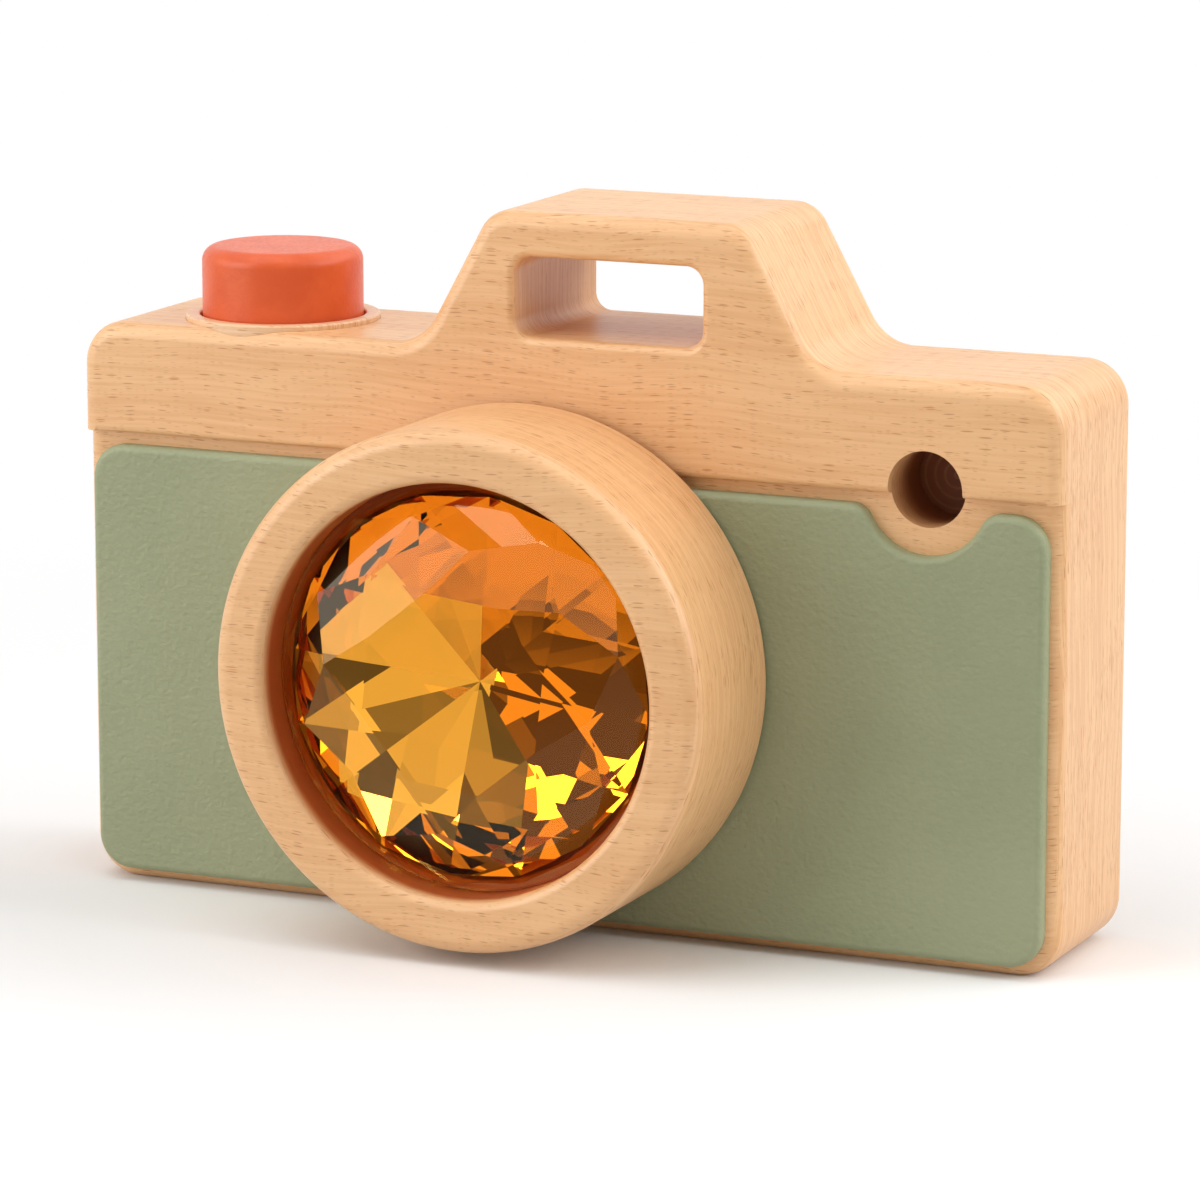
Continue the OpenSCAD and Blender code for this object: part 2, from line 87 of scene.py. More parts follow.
COLLAR_R, COLLAR_T, COLLAR_PROUD, COLLAR_EDGE_R = 12.2, 1.6, 0.7, 0.3
COIL_R, WIRE_R, COIL_TURNS, SPRING_L, SPRING_POCKET = 3.7, 0.4, 6, 10.0, 5.0
RUN_GAP, FIT_GAP, FLUSH_GAP = 0.3, 0.05, 0.3
OVERRUN = 1.0

# Depths along Y
FRONT, BACK = -BODY_D / 2, BODY_D / 2
FLOOR_Y = FRONT + STEP_D
PANEL_Y = FLOOR_Y - PANEL_T
BARREL_REAR = PANEL_Y - RUN_GAP
BARREL_FRONT = BARREL_REAR - BARREL_L
RIM_Y = BARREL_FRONT + LENS_RECESS
SEAT_Y = RIM_Y + RIM_T
EYEPIECE_BACK = BACK - FLUSH_GAP
SPIGOT_END = EYEPIECE_BACK - EYEPIECE_T

# Places and radii seen along the axes
HUMP_TOP = SHOULDER + HUMP_H
WINDOW_X, WINDOW_TOP = HUMP_X - WINDOW_SHIFT, HUMP_TOP - WINDOW_COVER
HOLE = (BODY_W / 2 - HOLE_SIDE, STEP_Z + HOLE_RISE)
BUTTON_X = BUTTON_SIDE - BODY_W / 2
BODY_BORE_R = SPIGOT_R + RUN_GAP
WASHER_BORE_R = BODY_BORE_R + WASHER_W + FIT_GAP
SPIGOT_BORE_R = SPIGOT_R - SPIGOT_WALL
RIM_R = OPENING_R - RUN_GAP
SEAT_R = OPENING_R - SEAT_W
PAVILION_R = SEAT_R - RUN_GAP
PANE_BORE_R = SPIGOT_BORE_R + PANE_EDGE + FIT_GAP

# Heights in the shutter button
CAP_BOTTOM = SHOULDER - BUTTON_SKIRT
LEDGE_Z = CAP_BOTTOM - BUTTON_TRAVEL - RUN_GAP
PIN_Z = LEDGE_Z - PIN_R
FOOT_TOP = PIN_Z - PIN_R - RUN_GAP
FOOT_BOTTOM = FOOT_TOP - FOOT_T
SPRING_TOP = FOOT_BOTTOM + SPRING_POCKET
BORE_FLOOR = SPRING_TOP - SPRING_L
CAP_BORE_R = BUTTON_R + RUN_GAP
COLLAR_SEAT = SHOULDER + COLLAR_PROUD - COLLAR_T
PIN_OFFSET = NECK_R + RUN_GAP + PIN_R
PIN_FRONT = -math.sqrt(CAP_BORE_R**2 - PIN_OFFSET**2) - PIN_BITE

# Corners are (x, z, radius), anticlockwise seen from the front
BODY = [
    (-BODY_W / 2, 0, CORNER_R),
    (BODY_W / 2, 0, CORNER_R),
    (BODY_W / 2, SHOULDER, CORNER_R),
    (HUMP_X + HUMP_BASE_W / 2, SHOULDER, HUMP_FOOT_R),
    (HUMP_X + HUMP_TOP_W / 2, HUMP_TOP, HUMP_TOP_R),
    (HUMP_X - HUMP_TOP_W / 2, HUMP_TOP, HUMP_TOP_R),
    (HUMP_X - HUMP_BASE_W / 2, SHOULDER, HUMP_FOOT_R),
    (-BODY_W / 2, SHOULDER, CORNER_R),
]
WINDOW = [
    (WINDOW_X - WINDOW_W / 2, WINDOW_TOP - WINDOW_H, WINDOW_R),
    (WINDOW_X + WINDOW_W / 2, WINDOW_TOP - WINDOW_H, WINDOW_R),
    (WINDOW_X + WINDOW_W / 2, WINDOW_TOP, WINDOW_R),
    (WINDOW_X - WINDOW_W / 2, WINDOW_TOP, WINDOW_R),
]
PANEL_X, PANEL_TOP = BODY_W / 2 - PANEL_INSET, STEP_Z - PANEL_TOP_GAP
NOTCH_FOOT = HOLE[1] - NOTCH_R / math.cos(NOTCH_SLOPE)
NOTCH_HALF = (PANEL_TOP - NOTCH_FOOT) / math.tan(NOTCH_SLOPE)
PANEL = [
    (-PANEL_X, PANEL_INSET, PANEL_R),
    (PANEL_X, PANEL_INSET, PANEL_R),
    (PANEL_X, PANEL_TOP, PANEL_R),
    (HOLE[0] + NOTCH_HALF, PANEL_TOP, NOTCH_SHOULDER_R),
    (HOLE[0], NOTCH_FOOT, NOTCH_R),
    (HOLE[0] - NOTCH_HALF, PANEL_TOP, NOTCH_SHOULDER_R),
    (-PANEL_X, PANEL_TOP, PANEL_R),
]


# Outlines and meshes


def corner_points(a, b, c, inset, steps):
    """Points of corner b of an outline, rounded, with the outline drawn in by inset."""
    u1 = (Vector(b[:2]) - Vector(a[:2])).normalized()
    u2 = (Vector(c[:2]) - Vector(b[:2])).normalized()
    n1, n2 = Vector((u1.y, -u1.x)), Vector((u2.y, -u2.x))
    side = -1 if n1.x * n2.y - n1.y * n2.x < 0 else 1
    centre = Vector(b[:2]) - side * b[2] * (n1 + n2) / (1 + n1.dot(n2))
    start = math.atan2(n1.y, n1.x)
    sweep = side * math.acos(max(-1, min(1, n1.dot(n2))))
    radius = side * b[2] - inset
    angles = [start + sweep * k / steps for k in range(steps + 1)]
    return [centre + radius * Vector((math.cos(t), math.sin(t))) for t in angles]


def outline(corners, inset, steps=14):
    """One list of points for each corner."""
    n = len(corners)
    return [corner_points(corners[i - 1], corners[i], corners[(i + 1) % n], inset, steps) for i in range(n)]


def quarter_round(r, steps=8):
    """Pairs of depth below a face and inset from the side."""
    angles = [math.pi / 2 * k / steps for k in range(steps + 1)]
    return [(r * (1 - math.cos(t)), r * (1 - math.sin(t))) for t in angles]


def arc(centre, r, a0, a1, steps=8):
    """Points of a profile round centre, from angle a0 to a1 in degrees."""
    angles = [math.radians(a0 + (a1 - a0) * k / steps) for k in range(steps + 1)]
    return [(centre[0] + r * math.cos(t), centre[1] + r * math.sin(t)) for t in angles]


def new_object(name, points, faces):
    """Mesh object from points in millimetres."""
    mesh = bpy.data.meshes.new(name)
    mesh.from_pydata([Vector(p) * MM for p in points], [], faces)
    bm = bmesh.new()
    bm.from_mesh(mesh)
    bmesh.ops.remove_doubles(bm, verts=bm.verts, dist=1e-7)
    bmesh.ops.recalc_face_normals(bm, faces=bm.faces)
    bm.to_mesh(mesh)
    bm.free()
    obj = bpy.data.objects.new(name, mesh)
    bpy.context.scene.collection.objects.link(obj)
    return obj


def loft(name, corners, rings):
    """Solid through copies of one outline; each ring is (y, inset)."""
    points, faces = [], []
    for y, inset in rings:
        flat = [p for corner in outline(corners, inset) for p in corner]
        points += [(p.x, y, p.y) for p in flat]
    n = len(flat)
    for j in range(len(rings) - 1):
        for k in range(n):
            m = (k + 1) % n
            faces.append((j * n + k, j * n + m, (j + 1) * n + m, (j + 1) * n + k))
    faces.append(tuple(range(n)))
    faces.append(tuple(range((len(rings) - 1) * n, len(rings) * n)))
    return new_object(name, points, faces)


def lathe(name, profile, axis, at, segments=192):
    """Turned solid. The profile's (radius, height) points go once round, or from the axis to the axis."""
    points, faces, rings = [], [], []
    for r, h in profile:
        count = 1 if r == 0 else segments
        rings.append((len(points), count))
        for k in range(count):
            t = 2 * math.pi * k / segments
            u, v = r * math.cos(t), r * math.sin(t)
            points.append((at[0] + u, h, at[1] + v) if axis == "Y" else (at[0] + u, at[1] + v, h))
    closed = profile[0][0] > 0
    for i in range(len(rings) if closed else len(rings) - 1):
        (a, na), (b, nb) = rings[i], rings[(i + 1) % len(rings)]
        for k in range(segments):
            m = (k + 1) % segments
            ring = [a + k % na, a + m % na, b + m % nb, b + k % nb]
            faces.append([v for j, v in enumerate(ring) if v != ring[j - 1]])
    return new_object(name, points, faces)


def applied(obj):
    """Bakes the object's modifiers into its mesh."""
    graph = bpy.context.evaluated_depsgraph_get()
    mesh = bpy.data.meshes.new_from_object(obj.evaluated_get(graph))
    obj.modifiers.clear()
    old, obj.data = obj.data, mesh
    bpy.data.meshes.remove(old)
    mesh.name = obj.name
    return obj


def cut(obj, *cutters):
    """Takes the cutters out of the object and deletes them."""
    for c in cutters:
        m = obj.modifiers.new("cut", "BOOLEAN")
        m.operation, m.solver, m.object = "DIFFERENCE", "EXACT", c
    applied(obj)
    for c in cutters:
        bpy.data.objects.remove(c)
    return obj


def round_edge(obj, middle, r):
    """Rounds the one edge whose middle is given."""
    bm = bmesh.new()
    bm.from_mesh(obj.data)
    near = min(bm.edges, key=lambda e: ((e.verts[0].co + e.verts[1].co) / 2 - middle * MM).length)
    bmesh.ops.bevel(bm, geom=[near], offset=r * MM, segments=5, profile=0.5, affect="EDGES")
    bm.to_mesh(obj.data)
    bm.free()


def soften(obj, bevel=0.0, angle=38, limit=50):
    """Small worn edge where faces meet sharply, then smooth shading that keeps flat faces flat."""
    if bevel:
        m = obj.modifiers.new("edge", "BEVEL")
        m.width, m.segments, m.limit_method, m.angle_limit = bevel * MM, 2, "ANGLE", math.radians(limit)
        m.use_clamp_overlap = True
        applied(obj)
    mesh = obj.data
    mesh.shade_smooth()
    mesh.set_sharp_from_angle(angle=math.radians(angle))
    m = obj.modifiers.new("normals", "WEIGHTED_NORMAL")
    m.mode, m.weight, m.keep_sharp = "FACE_AREA", 100, True
    return applied(obj)


# Materials


class Shader:
    """Short way to write a node tree."""

    def __init__(self, name):
        self.material = bpy.data.materials.new(name)
        self.material.use_nodes = True
        self.tree = self.material.node_tree
        self.tree.nodes.clear()
        self.out = self.tree.nodes.new("ShaderNodeOutputMaterial")

    def node(self, kind, inputs=(), **settings):
        n = self.tree.nodes.new("ShaderNode" + kind)
        for key, value in settings.items():
            setattr(n, key, value)
        for key, value in dict(inputs).items():
            self.put(n.inputs[key], value)
        return n

    def put(self, socket, value):
        if isinstance(value, bpy.types.NodeSocket):
            self.tree.links.new(value, socket)
        else:
            socket.default_value = value

    def math(self, operation, a, b=0.0):
        return self.node("Math", {0: a, 1: b}, operation=operation).outputs[0]

    def vector(self, operation, a, b):
        return self.node("VectorMath", {0: a, 1: b}, operation=operation).outputs[0]

    def length(self, a):
        return self.node("VectorMath", {0: a}, operation="LENGTH").outputs["Value"]

    def place(self, scale=(1, 1, 1)):
        """Place on the piece in millimetres, times scale."""
        source = self.node("TexCoord").outputs["Object"]
        return self.vector("MULTIPLY", source, [s / MM for s in scale])

    def noise(self, place, stretch, detail=2.0, rough=0.5):
        p = self.vector("MULTIPLY", place, stretch)
        inputs = {"Vector": p, "Scale": 1.0, "Detail": detail, "Roughness": rough}
        return self.node("TexNoise", inputs).outputs["Fac"]

    def ramp(self, value, low, high, out_low=0.0, out_high=1.0):
        """Smooth step from one value to another."""
        n = self.node("MapRange", interpolation_type="SMOOTHSTEP")
        for i, v in enumerate((value, low, high, out_low, out_high)):
            self.put(n.inputs[i], v)
        return n.outputs[0]

    def between(self, share, a, b):
        """Number between a and b."""
        return self.node("Mix", {0: share, 2: a, 3: b}, data_type="FLOAT").outputs[0]

    def mix(self, share, a, b):
        """Colour between a and b."""
        return self.node("Mix", {"Factor": share, 6: a, 7: b}, data_type="RGBA").outputs[2]

    def bump(self, height, strength, depth):
        """Relief of so many millimetres."""
        inputs = {"Strength": strength, "Distance": depth * MM, "Height": height}
        return self.node("Bump", inputs).outputs[0]

    def finish(self, **inputs):
        p = self.node("BsdfPrincipled")
        for key, value in inputs.items():
            self.put(p.inputs[key.replace("_", " ")], value)
        self.tree.links.new(p.outputs[0], self.out.inputs["Surface"])
        return self.material


def dashes(s, place, stretch, share):
    """Short thin flecks: a share of the long cells of a stretched Voronoi pattern is marked."""
    p = s.vector("MULTIPLY", place, stretch)
    v = s.node("TexVoronoi", {"Vector": p, "Scale": 1.0, "Randomness": 1.0})
    picked = s.node("SeparateColor", {0: v.outputs["Color"]}).outputs[0]
    size = s.ramp(picked, 0.0, share, 0.44, 0.12)
    edge = s.math("SUBTRACT", size, v.outputs["Distance"])
    chosen = s.math("LESS_THAN", picked, share)
    return s.math("MULTIPLY", s.ramp(edge, -0.04, 0.2), chosen)


def recess_shade_mask(s, place, axis, radius, y0, y1, y2):
    """Painted shade, 1 inside a round recess: grows from depth y0 to y1, ends at y2, with faint tool rings.
    """
    from_axis = s.vector("MULTIPLY", s.vector("SUBTRACT", place, (axis[0], 0, axis[1])), (1, 0, 1))
    far = s.length(from_axis)
    y = s.node("SeparateXYZ", {0: place}).outputs["Y"]
    depth = s.math("MULTIPLY", s.ramp(y, y0, y1), s.math("LESS_THAN", y, y2))
    rings = s.ramp(s.math("SINE", s.math("MULTIPLY", far, 5.0)), 0.4, 1.0, 1.0, 0.85)
    return s.math("MULTIPLY", s.math("LESS_THAN", far, radius), s.math("MULTIPLY", depth, rings))


def beech(name, pale, mid, fleck, turn=0.0, recess=None, painted_shade=None):
    """Beech with its growth layers stacked along Y: flecks along X on the front, fine lines round the sides.

    A recess, given as for the shade mask above, gets painted shade inside. Turn moves the pattern on.
    """
    s = Shader(name)
    place = s.place()
    drift = s.node("TexNoise", {"Vector": place, "Scale": 0.035, "Detail": 1.0}).outputs["Color"]
    drift = s.vector("MULTIPLY", s.vector("SUBTRACT", drift, (0.5, 0.5, 0.5)), (5, 5, 5))
    p = s.vector("ADD", s.vector("ADD", place, drift), (turn, 3 * turn, 7 * turn))
    normal = s.node("SeparateXYZ", {0: s.node("TexCoord").outputs["Normal"]}).outputs
    face = s.ramp(s.math("ABSOLUTE", normal["Y"]), 0.45, 0.85)

    # Front and back: fibres and flecks along X
    fibre = s.noise(p, (0.07, 0.5, 2.4), detail=3.0, rough=0.6)
    band = s.noise(p, (0.012, 0.05, 0.16))
    large = dashes(s, p, (0.45, 0.7, 4.2), s.ramp(band, 0.35, 0.7, 0.3, 0.62))
    small = dashes(s, p, (0.9, 1.2, 7.0), 0.45)
    front_marks = s.math("MAXIMUM", large, s.math("MULTIPLY", small, 0.6))

    # Sides: fine lines and flecks at one depth, which follow the outline
    line = s.ramp(s.noise(p, (0.05, 2.6, 0.05), detail=3.0, rough=0.65), 0.3, 0.7)
    large = dashes(s, p, (0.4, 4.2, 0.4), 0.45)
    small = dashes(s, p, (0.8, 7.0, 0.8), 0.45)
    side_marks = s.math("MAXIMUM", large, s.math("MULTIPLY", small, 0.6))

    grain = s.between(face, line, fibre)
    marks = s.between(face, side_marks, front_marks)
    tone = s.math("ADD", s.math("MULTIPLY", grain, 0.75), s.math("MULTIPLY", band, 0.45))
    wood = s.mix(s.ramp(tone, 0.42, 0.78), (*pale, 1), (*mid, 1))
    colour = s.mix(s.math("MULTIPLY", marks, 0.7), wood, (*fleck, 1))
    # Painted shade: the inside of the recess is darkened with depth.
    if recess:
        colour = s.mix(recess_shade_mask(s, place, *recess), colour, (*painted_shade, 1))
    height = s.math("SUBTRACT", s.math("MULTIPLY", grain, 0.6), s.math("MULTIPLY", marks, 0.5))
    return s.finish(
        Base_Color=colour,
        Roughness=s.ramp(marks, 0.0, 1.0, 0.4, 0.56),
        Normal=s.bump(height, 0.35, 0.04),
        Coat_Weight=0.25,
        Coat_Roughness=0.32,
    )


def sage_paint(name):
    """Satin paint with a fine leathery relief."""
    s = Shader(name)
    p = s.place()
    wrinkle = s.noise(p, (0.9, 0.9, 1.2), detail=4.0, rough=0.62)
    cells = {"Vector": s.vector("MULTIPLY", p, (1.6, 1.6, 1.6)), "Scale": 1.0}
    pores = s.node("TexVoronoi", cells, feature="SMOOTH_F1").outputs["Distance"]
    cloud = s.noise(p, (0.05, 0.05, 0.05))
    tone = s.math("ADD", s.math("MULTIPLY", cloud, 0.6), s.math("MULTIPLY", wrinkle, 0.4))
    colour = s.mix(s.ramp(tone, 0.3, 0.7), (0.290, 0.318, 0.178, 1), (0.335, 0.360, 0.210, 1))
    height = s.math("ADD", wrinkle, s.math("MULTIPLY", pores, 0.5))
    rough = s.ramp(wrinkle, 0.3, 0.7, 0.5, 0.62)
    return s.finish(Base_Color=colour, Roughness=rough, Normal=s.bump(height, 0.85, 0.16))


def coral_paint(name):
    """Satin paint with the grit of the wood showing through."""
    s = Shader(name)
    p = s.place()
    cloud = s.noise(p, (0.25, 0.25, 0.25), detail=3.0)
    grit = s.noise(p, (2.2, 2.2, 2.2), detail=3.0)
    colour = s.mix(s.ramp(cloud, 0.3, 0.7), (0.71, 0.105, 0.026, 1), (0.78, 0.128, 0.034, 1))
    return s.finish(
        Base_Color=colour,
        Roughness=s.ramp(grit, 0.3, 0.7, 0.3, 0.4),
        Specular_IOR_Level=0.35,
        Normal=s.bump(grit, 0.6, 0.06),
    )


def amber(name):
    """Clear amber of the lens's front facets and rim."""
    return Shader(name).finish(
        Base_Color=(1.0, 0.74, 0.22, 1),
        Roughness=0.0,
        IOR=1.49,
        Transmission_Weight=1.0,
        Specular_Tint=(1.0, 0.8, 0.55, 1),
    )


def amber_coat(name):
    """Mirror coating on the rear facets."""
    return Shader(name).finish(Base_Color=(0.96, 0.55, 0.17, 1), Metallic=1.0, Roughness=0.0)


def clear(name):
    return Shader(name).finish(
        Base_Color=(0.97, 0.98, 0.98, 1),
        Roughness=0.02,
        IOR=1.49,
        Transmission_Weight=1.0,
    )


def nylon(name):
    s = Shader(name)
    mottle = s.noise(s.place(), (1.5, 1.5, 1.5))
    colour = s.mix(mottle, (0.76, 0.73, 0.66, 1), (0.82, 0.79, 0.72, 1))
    return s.finish(Base_Color=colour, Roughness=0.5)


def steel(name):
    s = Shader(name)
    scratch = s.noise(s.place(), (0.8, 6, 6), detail=3.0)
    return s.finish(
        Base_Color=(0.62, 0.63, 0.65, 1),
        Metallic=1.0,
        Roughness=s.ramp(scratch, 0.3, 0.7, 0.26, 0.38),
        Normal=s.bump(scratch, 0.2, 0.02),
    )


def piece(obj, body, node, material):
    """Puts a finished mesh in the place of a CAD node."""
    obj.data.materials.clear()
    obj.data.materials.append(material)
    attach(obj, body)
    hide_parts(node)
    return obj


FLECK = (0.50, 0.20, 0.065)
# The peephole's inside gets painted shade, dark brown towards its floor.
BEECH = beech(
    "beech", (0.87, 0.515, 0.25), (0.78, 0.42, 0.185), FLECK,
    recess=(HOLE, HOLE_R + 0.3, FRONT + 1.5, FRONT + 8.0, FRONT + HOLE_D + 0.2), painted_shade=(0.26, 0.075, 0.012),
)
# The barrel's inner wall near the lens gets painted shade, tinted as painted amber light from the lens.
TURNED = beech(
    "turned_beech", (0.87, 0.51, 0.245), (0.79, 0.43, 0.19), FLECK, turn=13.0,
    recess=(LENS, OPENING_R + 0.5, BARREL_FRONT + 0.5, RIM_Y - 2.5, SEAT_Y + 3), painted_shade=(0.50, 0.075, 0.004),
)
PALE = beech("pale_beech", (0.90, 0.60, 0.36), (0.82, 0.49, 0.26), (0.55, 0.25, 0.095), turn=29.0)
STEEL = steel("steel")


# Body block


def body_blank():
    """The block with rounded edges and its front stepped back below STEP_Z."""

    def ring(inset):
        c = outline(BODY, inset)
        x = BODY_W / 2 - inset
        low = [(p, True) for p in c[0] + c[1]] + [(Vector((x, STEP_Z)), True)]
        high = [(Vector((x, STEP_Z)), False)] + [(p, False) for i in range(2, 8) for p in c[i]]
        return low + high + [(Vector((-x, STEP_Z)), False), (Vector((-x, STEP_Z)), True)]

    q = quarter_round(EDGE_R)
    points, faces = [], []
    for depth, inset in q:
        points += [(p.x, (FLOOR_Y if low else FRONT) + depth, p.y) for p, low in ring(inset)]
    for depth, inset in reversed(q):
        points += [(p.x, BACK - depth, p.y) for p, low in ring(inset)]
    flags = [low for p, low in ring(0)]
    n = len(flags)
    lows = [k for k in range(n) if flags[k]]
    highs = [k for k in range(n) if not flags[k]]
    right_low, right_high = highs[0] - 1, highs[0]
    left_high, left_low = highs[-1], n - 1
    steps = len(q)
    for j in range(2 * steps - 1):
        for k in range(n):
            m = (k + 1) % n
            face = [j * n + k, j * n + m, (j + 1) * n + m, (j + 1) * n + k]
            pair = {k, m} in ({right_low, right_high}, {left_high, left_low})
            if pair and j >= steps - 1:
                continue
            if j == steps - 1 and k == right_high:
                face.append(j * n + right_low)
            if j == steps - 1 and m == left_high:
                face = [j * n + k, j * n + m, j * n + left_low, (j + 1) * n + m, (j + 1) * n + k]
            faces.append(face)
    faces.append(highs)
    faces.append(lows)
    faces.append([right_low, right_high, left_high, left_low])
    back = (2 * steps - 1) * n
    faces.append([back + k for k in range(n) if k not in (right_low, left_low)])
    body = new_object("block", points, faces)
    round_edge(body, Vector((0, FRONT, STEP_Z)), STEP_LIP_R)
    return body


def window_cutter():
    """The carrying window, flared at both ends so that its edges come out rounded."""
    r = quarter_round(WINDOW_EDGE_R)
    front = [(FRONT - OVERRUN, -WINDOW_EDGE_R)] + [(FRONT + d, -i) for d, i in r]
    back = [(BACK - d, -i) for d, i in reversed(r)] + [(BACK + OVERRUN, -WINDOW_EDGE_R)]
    return loft("window_cut", WINDOW, front + back)


def body_block():
    hole = [(0, FRONT + HOLE_D), (HOLE_R, FRONT + HOLE_D), (HOLE_R, FRONT - OVERRUN), (0, FRONT - OVERRUN)]
    eyepiece_floor, eyepiece_bore = SPIGOT_END - RUN_GAP, EYEPIECE_R + RUN_GAP
    bore = [
        (0, FRONT - 2 * OVERRUN), (WASHER_BORE_R, FRONT - 2 * OVERRUN), (WASHER_BORE_R, FLOOR_Y),
        (BODY_BORE_R, FLOOR_Y), (BODY_BORE_R, eyepiece_floor),
        (eyepiece_bore, eyepiece_floor), (eyepiece_bore, BACK + OVERRUN), (0, BACK + OVERRUN),
    ]
    foot_bore, collar_bore = FOOT_R + RUN_GAP, COLLAR_R + FIT_GAP
    well = [
        (0, BORE_FLOOR), (foot_bore, BORE_FLOOR), (foot_bore, LEDGE_Z), (CAP_BORE_R, LEDGE_Z),
        (CAP_BORE_R, COLLAR_SEAT), (collar_bore, COLLAR_SEAT), (collar_bore, SHOULDER + OVERRUN),
        (0, SHOULDER + OVERRUN),
    ]
    pin_bore = PIN_R + FIT_GAP
    pin = [(0, PIN_FRONT), (pin_bore, PIN_FRONT), (pin_bore, BACK + OVERRUN), (0, BACK + OVERRUN)]
    body = cut(
        body_blank(),
        window_cutter(),
        lathe("hole_cut", hole, "Y", HOLE, 96),
        lathe("bore_cut", bore, "Y", LENS, 160),
        lathe("well_cut", well, "Z", (BUTTON_X, 0), 128),
        *[lathe("pin_cut", pin, "Y", (BUTTON_X + side * PIN_OFFSET, PIN_Z), 48) for side in (-1, 1)],
    )
    return soften(body, bevel=0.18)


piece(body_block(), "camera_body", "body_block", BEECH)


# Front panel


def front_panel():
    rings = [(PANEL_Y + d, i) for d, i in quarter_round(PANEL_EDGE_R)] + [(FLOOR_Y, 0)]
    front, back = PANEL_Y - OVERRUN, FLOOR_Y + OVERRUN
    hole = [(0, front), (WASHER_BORE_R, front), (WASHER_BORE_R, back), (0, back)]
    return soften(cut(loft("panel", PANEL, rings), lathe("panel_cut", hole, "Y", LENS, 160)))


piece(front_panel(), "camera_body", "front_panel", sage_paint("sage_paint"))


# Lens barrel


def lens_barrel():
    """Barrel, seat of the lens, room for its rear facets, and the spigot that turns in the body."""
    cavity = SEAT_Y + PAVILION_H * (1 - (SPIGOT_BORE_R - 2 * RUN_GAP) / PAVILION_R)
    profile = [(SPIGOT_BORE_R, SPIGOT_END), (SPIGOT_R, SPIGOT_END), (SPIGOT_R, BARREL_REAR)]
    profile += arc((BARREL_R - BARREL_REAR_R, BARREL_REAR - BARREL_REAR_R), BARREL_REAR_R, 90, 0)
    profile += arc((BARREL_R - BARREL_EDGE_R, BARREL_FRONT + BARREL_EDGE_R), BARREL_EDGE_R, 0, -90, 12)
    profile += arc((OPENING_R + OPENING_EDGE_R, BARREL_FRONT + OPENING_EDGE_R), OPENING_EDGE_R, -90, -180, 10)
    profile += [(OPENING_R, SEAT_Y), (SEAT_R, SEAT_Y), (SEAT_R, cavity), (SPIGOT_BORE_R, cavity)]
    return soften(lathe("barrel", profile, "Y", LENS, 256))


piece(lens_barrel(), "lens", "lens_barrel", TURNED)


# Faceted lens


def jewel(rim_steps=192):
    """Table, star facets, two rows of kites and pairs of triangles in front; long kites to a point behind."""
    n, half = FACETS, math.pi / FACETS
    crown_r = RIM_R - RIM_EDGE
    # Drops below the table at which the four corners of every kite lie in one plane
    star_share = (STAR_R * math.cos(half) - TABLE_R) / (KITE_R - TABLE_R)
    edge_share = (KITE_R * math.cos(half) - STAR_R) / (crown_r - STAR_R)
    kite_drop = CROWN_H * edge_share / (1 - star_share * (1 - edge_share))
    table_y = RIM_Y - CROWN_H
    points = []

    def ring(count, r, y, offset=0.0):
        start = len(points)
        for k in range(count):
            t = FACET_TURN + 2 * math.pi * k / count + offset
            points.append((LENS[0] + r * math.cos(t), y, LENS[1] + r * math.sin(t)))
        return [start + k for k in range(count)]

    table = ring(n, TABLE_R, table_y)
    star = ring(n, STAR_R, table_y + star_share * kite_drop, half)
    kite = ring(n, KITE_R, table_y + kite_drop)
    girdle = ring(2 * n, crown_r, RIM_Y)
    faces = [table]
    for i in range(n):
        j = (i + 1) % n
        faces.append([table[i], table[j], star[i]])
        faces.append([table[i], star[i], kite[i], star[i - 1]])
        faces.append([star[i], kite[j], girdle[2 * i + 1], kite[i]])
        faces.append([kite[i], girdle[2 * i + 1], girdle[2 * i]])
        faces.append([kite[i], girdle[2 * i], girdle[2 * i - 1]])

    # The rim keeps clear of its seat, so that the two faces don't lie in each other
    rear = SEAT_Y - FIT_GAP
    rim_front, rim_back = ring(rim_steps, RIM_R, RIM_Y), ring(rim_steps, RIM_R, rear)
    for k in range(rim_steps):
        m = (k + 1) % rim_steps
        faces.append([rim_front[k], rim_front[m], rim_back[m], rim_back[k]])
    waist = ring(2 * n, PAVILION_R, rear)
    step = rim_steps // (2 * n)
    for k in range(2 * n):
        m = (k + 1) % (2 * n)
        span = [x % rim_steps for x in range((k + 1) * step, k * step - 1, -1)]
        faces.append([girdle[k], girdle[m]] + [rim_front[x] for x in span])
        faces.append([waist[k], waist[m]] + [rim_back[x] for x in span])

    tip_y = SEAT_Y + PAVILION_H * (1 - PAVILION_TIP_R * math.cos(half) / PAVILION_R)
    tip = ring(n, PAVILION_TIP_R, tip_y, half)
    culet = ring(1, 0, SEAT_Y + PAVILION_H)[0]
    for i in range(n):
        faces.append([tip[i], waist[2 * i], waist[2 * i + 1]])
        faces.append([tip[i], waist[2 * i + 1], waist[(2 * i + 2) % (2 * n)]])
        faces.append([culet, tip[i - 1], waist[2 * i], tip[i]])
    lens = new_object("jewel", points, faces)
    lens.data.shade_flat()
    return lens


lens = piece(jewel(), "lens", "faceted_lens", amber("amber_acrylic"))
lens.data.materials.append(amber_coat("amber_coat"))
for facet in lens.data.polygons:
    facet.material_index = int(facet.center.y > SEAT_Y * MM)


# Eyepiece


